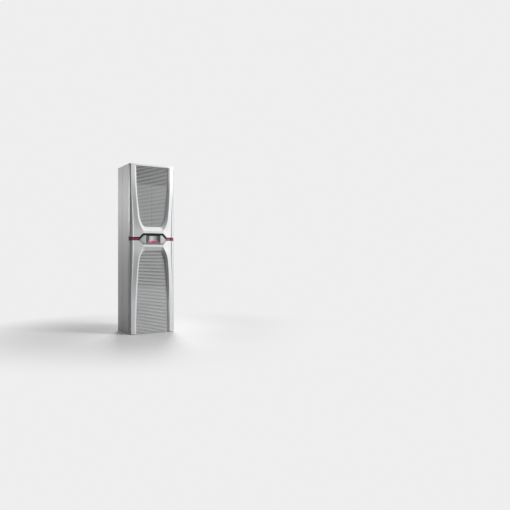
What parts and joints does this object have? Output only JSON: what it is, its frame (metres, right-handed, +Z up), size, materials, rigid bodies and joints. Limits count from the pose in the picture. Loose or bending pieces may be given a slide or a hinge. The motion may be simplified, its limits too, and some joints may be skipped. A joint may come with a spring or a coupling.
{
  "type": "enclosure air conditioner",
  "caption": "Tall wall-mounted enclosure cooling unit: sheet-steel casing, two bowed moulded covers with curved louvre grilles, hexagonal display recess and a coloured waist stripe.",
  "frame": {"origin": "middle of the footprint, on the floor", "axes": "+Z up, +X to the right as seen from the front, the front faces -Y"},
  "size_m": [0.45, 0.393, 1.6],
  "materials": {
    "black_plastic": "satin black moulding",
    "screen_glass": "dark glossy cover glass",
    "surround_plastic": "mid grey semi-gloss moulding",
    "light_plastic": "light grey semi-gloss moulding",
    "grey_paint": "light grey powder coat",
    "dark_steel": "dark grey powder coat",
    "stripe_plastic": "magenta moulding",
    "filter_mat": "dark filter fleece",
    "grille_plastic": "grey louvre moulding",
    "zinc_steel": "zinc-plated steel",
    "seal_rubber": "black foam seal"
  },
  "bodies": {
    "root": {"display_frame": "black_plastic", "display_glass": "screen_glass", "display_surround": "surround_plastic", "drain_spout": "black_plastic", "front_base": "grey_paint", "front_frame": "dark_steel", "front_left_side": "grey_paint", "front_right_side": "grey_paint", "front_top": "grey_paint", "left_lifting_nut": "zinc_steel", "left_stripe": "stripe_plastic", "lower_backing": "grey_paint", "lower_cover": "light_plastic", "lower_filter": "filter_mat", "lower_grille": "grille_plastic", "middle_frame": "dark_steel", "power_socket": "black_plastic", "rear_base": "grey_paint", "rear_gasket": "seal_rubber", "rear_inlet_guard": "dark_steel", "rear_left_side": "grey_paint", "rear_outlet_guard": "dark_steel", "rear_panel": "grey_paint", "rear_right_side": "grey_paint", "rear_top": "grey_paint", "right_lifting_nut": "zinc_steel", "right_stripe": "stripe_plastic", "upper_cover": "light_plastic", "upper_filter": "filter_mat", "upper_grille": "grille_plastic", "upper_left_backing": "grey_paint", "upper_right_backing": "grey_paint", "waist_core": "black_plastic"}
  },
  "joints": []
}
